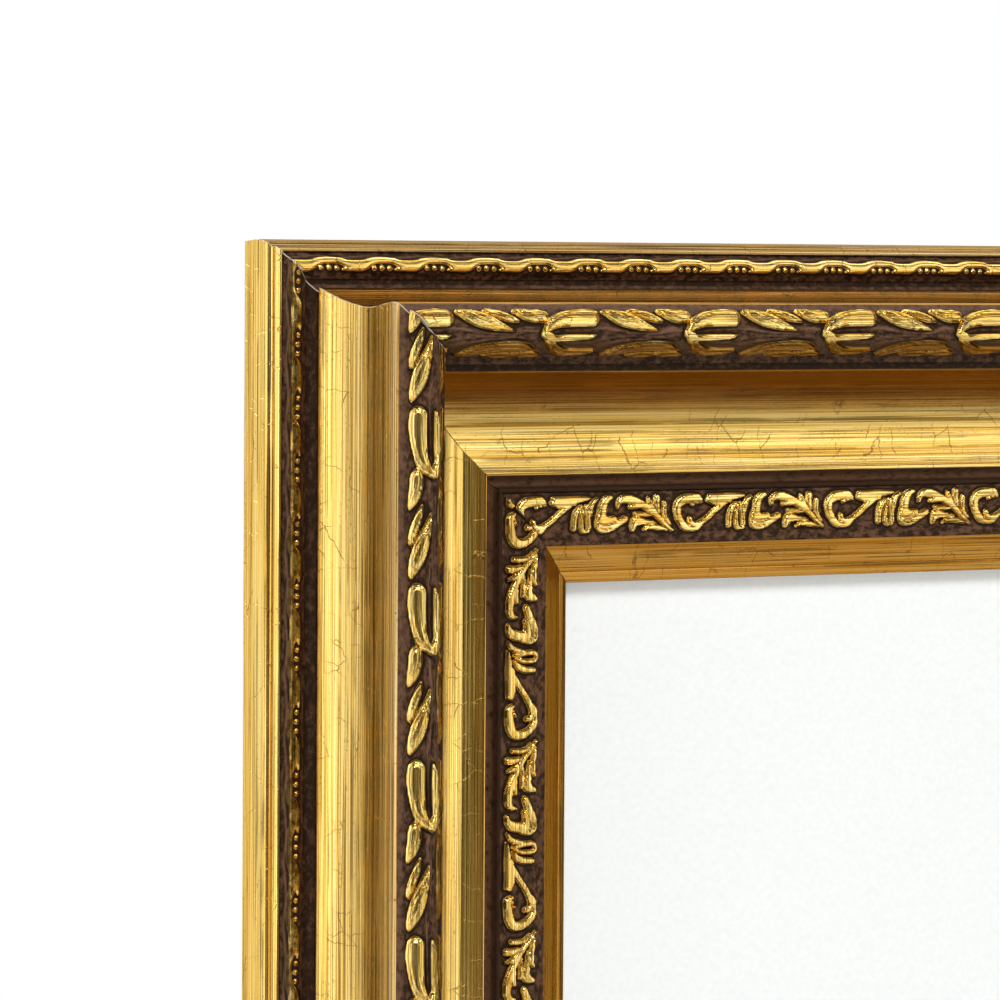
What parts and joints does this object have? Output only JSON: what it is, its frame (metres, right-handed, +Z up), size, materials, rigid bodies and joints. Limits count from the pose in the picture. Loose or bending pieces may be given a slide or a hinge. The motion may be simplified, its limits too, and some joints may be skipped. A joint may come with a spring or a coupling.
{
  "type": "baroque picture frame",
  "caption": "Gilt baroque wall frame with a deep scotia and cove moulding, relief ribbon, laurel and scroll bands, glass, blank insert and a backing held by turn buttons.",
  "frame": {"origin": "the middle of the frame's back plane, where the rails' flat backs lie", "axes": "+X to the right as seen from the front, +Y out of the back towards the wall, +Z up"},
  "size_m": [0.4144, 0.0438, 0.5144],
  "materials": {
    "gilt_wood": "burnished antique gold leaf with dark streaks and umber patina in the hollows",
    "gilt_ribbon_strip": "gold leaf ribbon and beads over dark umber",
    "gilt_laurel_strip": "gold leaf laurel and buds over dark umber",
    "gilt_scroll_strip": "gold leaf scrolls on a mottled dark brown ground",
    "nail_steel": "plain rolled steel",
    "clear_glass": "clear float glass",
    "white_card": "matt white card",
    "grey_board": "grey filler board",
    "hardboard": "smooth brown hardboard",
    "button_steel": "zinc-plated steel",
    "hanger_steel": "zinc-plated steel",
    "ring_steel": "nickel-plated round wire",
    "screw_steel": "zinc-plated steel",
    "grey_felt": "pressed felt"
  },
  "bodies": {
    "frame": {"rail_top": "gilt_wood", "rail_right": "gilt_wood", "rail_bottom": "gilt_wood", "rail_left": "gilt_wood", "outer_band_top": "gilt_ribbon_strip", "outer_band_right": "gilt_ribbon_strip", "outer_band_bottom": "gilt_ribbon_strip", "outer_band_left": "gilt_ribbon_strip", "crest_band_top": "gilt_laurel_strip", "crest_band_right": "gilt_laurel_strip", "crest_band_bottom": "gilt_laurel_strip", "crest_band_left": "gilt_laurel_strip", "scroll_band_top": "gilt_scroll_strip", "scroll_band_right": "gilt_scroll_strip", "scroll_band_bottom": "gilt_scroll_strip", "scroll_band_left": "gilt_scroll_strip", "v_nails": "nail_steel", "glass_pane": "clear_glass", "insert_sheet": "white_card", "filler_board": "grey_board", "backing_board": "hardboard", "turn_button_screws": "screw_steel", "hanger_plate_left": "hanger_steel", "hanger_plate_right": "hanger_steel", "hanger_screws": "screw_steel", "wall_bumpers": "grey_felt"},
    "button_1": {"turn_button_1": "button_steel"},
    "button_2": {"turn_button_2": "button_steel"},
    "button_3": {"turn_button_3": "button_steel"},
    "button_4": {"turn_button_4": "button_steel"},
    "button_5": {"turn_button_5": "button_steel"},
    "button_6": {"turn_button_6": "button_steel"},
    "button_7": {"turn_button_7": "button_steel"},
    "button_8": {"turn_button_8": "button_steel"},
    "ring_left": {"d_ring_left": "ring_steel"},
    "ring_right": {"d_ring_right": "ring_steel"}
  },
  "joints": [
    {"name": "button_1_turn", "type": "hinge", "parent": "frame", "child": "button_1", "pos_m": [-0.1036, 0, 0.208], "axis": [0, 1, 0], "continuous": true},
    {"name": "button_2_turn", "type": "hinge", "parent": "frame", "child": "button_2", "pos_m": [0.1036, 0, 0.208], "axis": [0, 1, 0], "continuous": true},
    {"name": "button_3_turn", "type": "hinge", "parent": "frame", "child": "button_3", "pos_m": [0.158, 0, 0.1286], "axis": [0, 1, 0], "continuous": true},
    {"name": "button_4_turn", "type": "hinge", "parent": "frame", "child": "button_4", "pos_m": [0.158, 0, -0.1286], "axis": [0, 1, 0], "continuous": true},
    {"name": "button_5_turn", "type": "hinge", "parent": "frame", "child": "button_5", "pos_m": [0.1036, 0, -0.208], "axis": [0, 1, 0], "continuous": true},
    {"name": "button_6_turn", "type": "hinge", "parent": "frame", "child": "button_6", "pos_m": [-0.1036, 0, -0.208], "axis": [0, 1, 0], "continuous": true},
    {"name": "button_7_turn", "type": "hinge", "parent": "frame", "child": "button_7", "pos_m": [-0.158, 0, -0.1286], "axis": [0, 1, 0], "continuous": true},
    {"name": "button_8_turn", "type": "hinge", "parent": "frame", "child": "button_8", "pos_m": [-0.158, 0, 0.1286], "axis": [0, 1, 0], "continuous": true},
    {"name": "ring_left_swing", "type": "hinge", "parent": "frame", "child": "ring_left", "pos_m": [-0.1792, 0.0025, 0.0872], "axis": [1, 0, 0], "range_deg": [0, 175]},
    {"name": "ring_right_swing", "type": "hinge", "parent": "frame", "child": "ring_right", "pos_m": [0.1792, 0.0025, 0.0872], "axis": [1, 0, 0], "range_deg": [0, 175]}
  ]
}
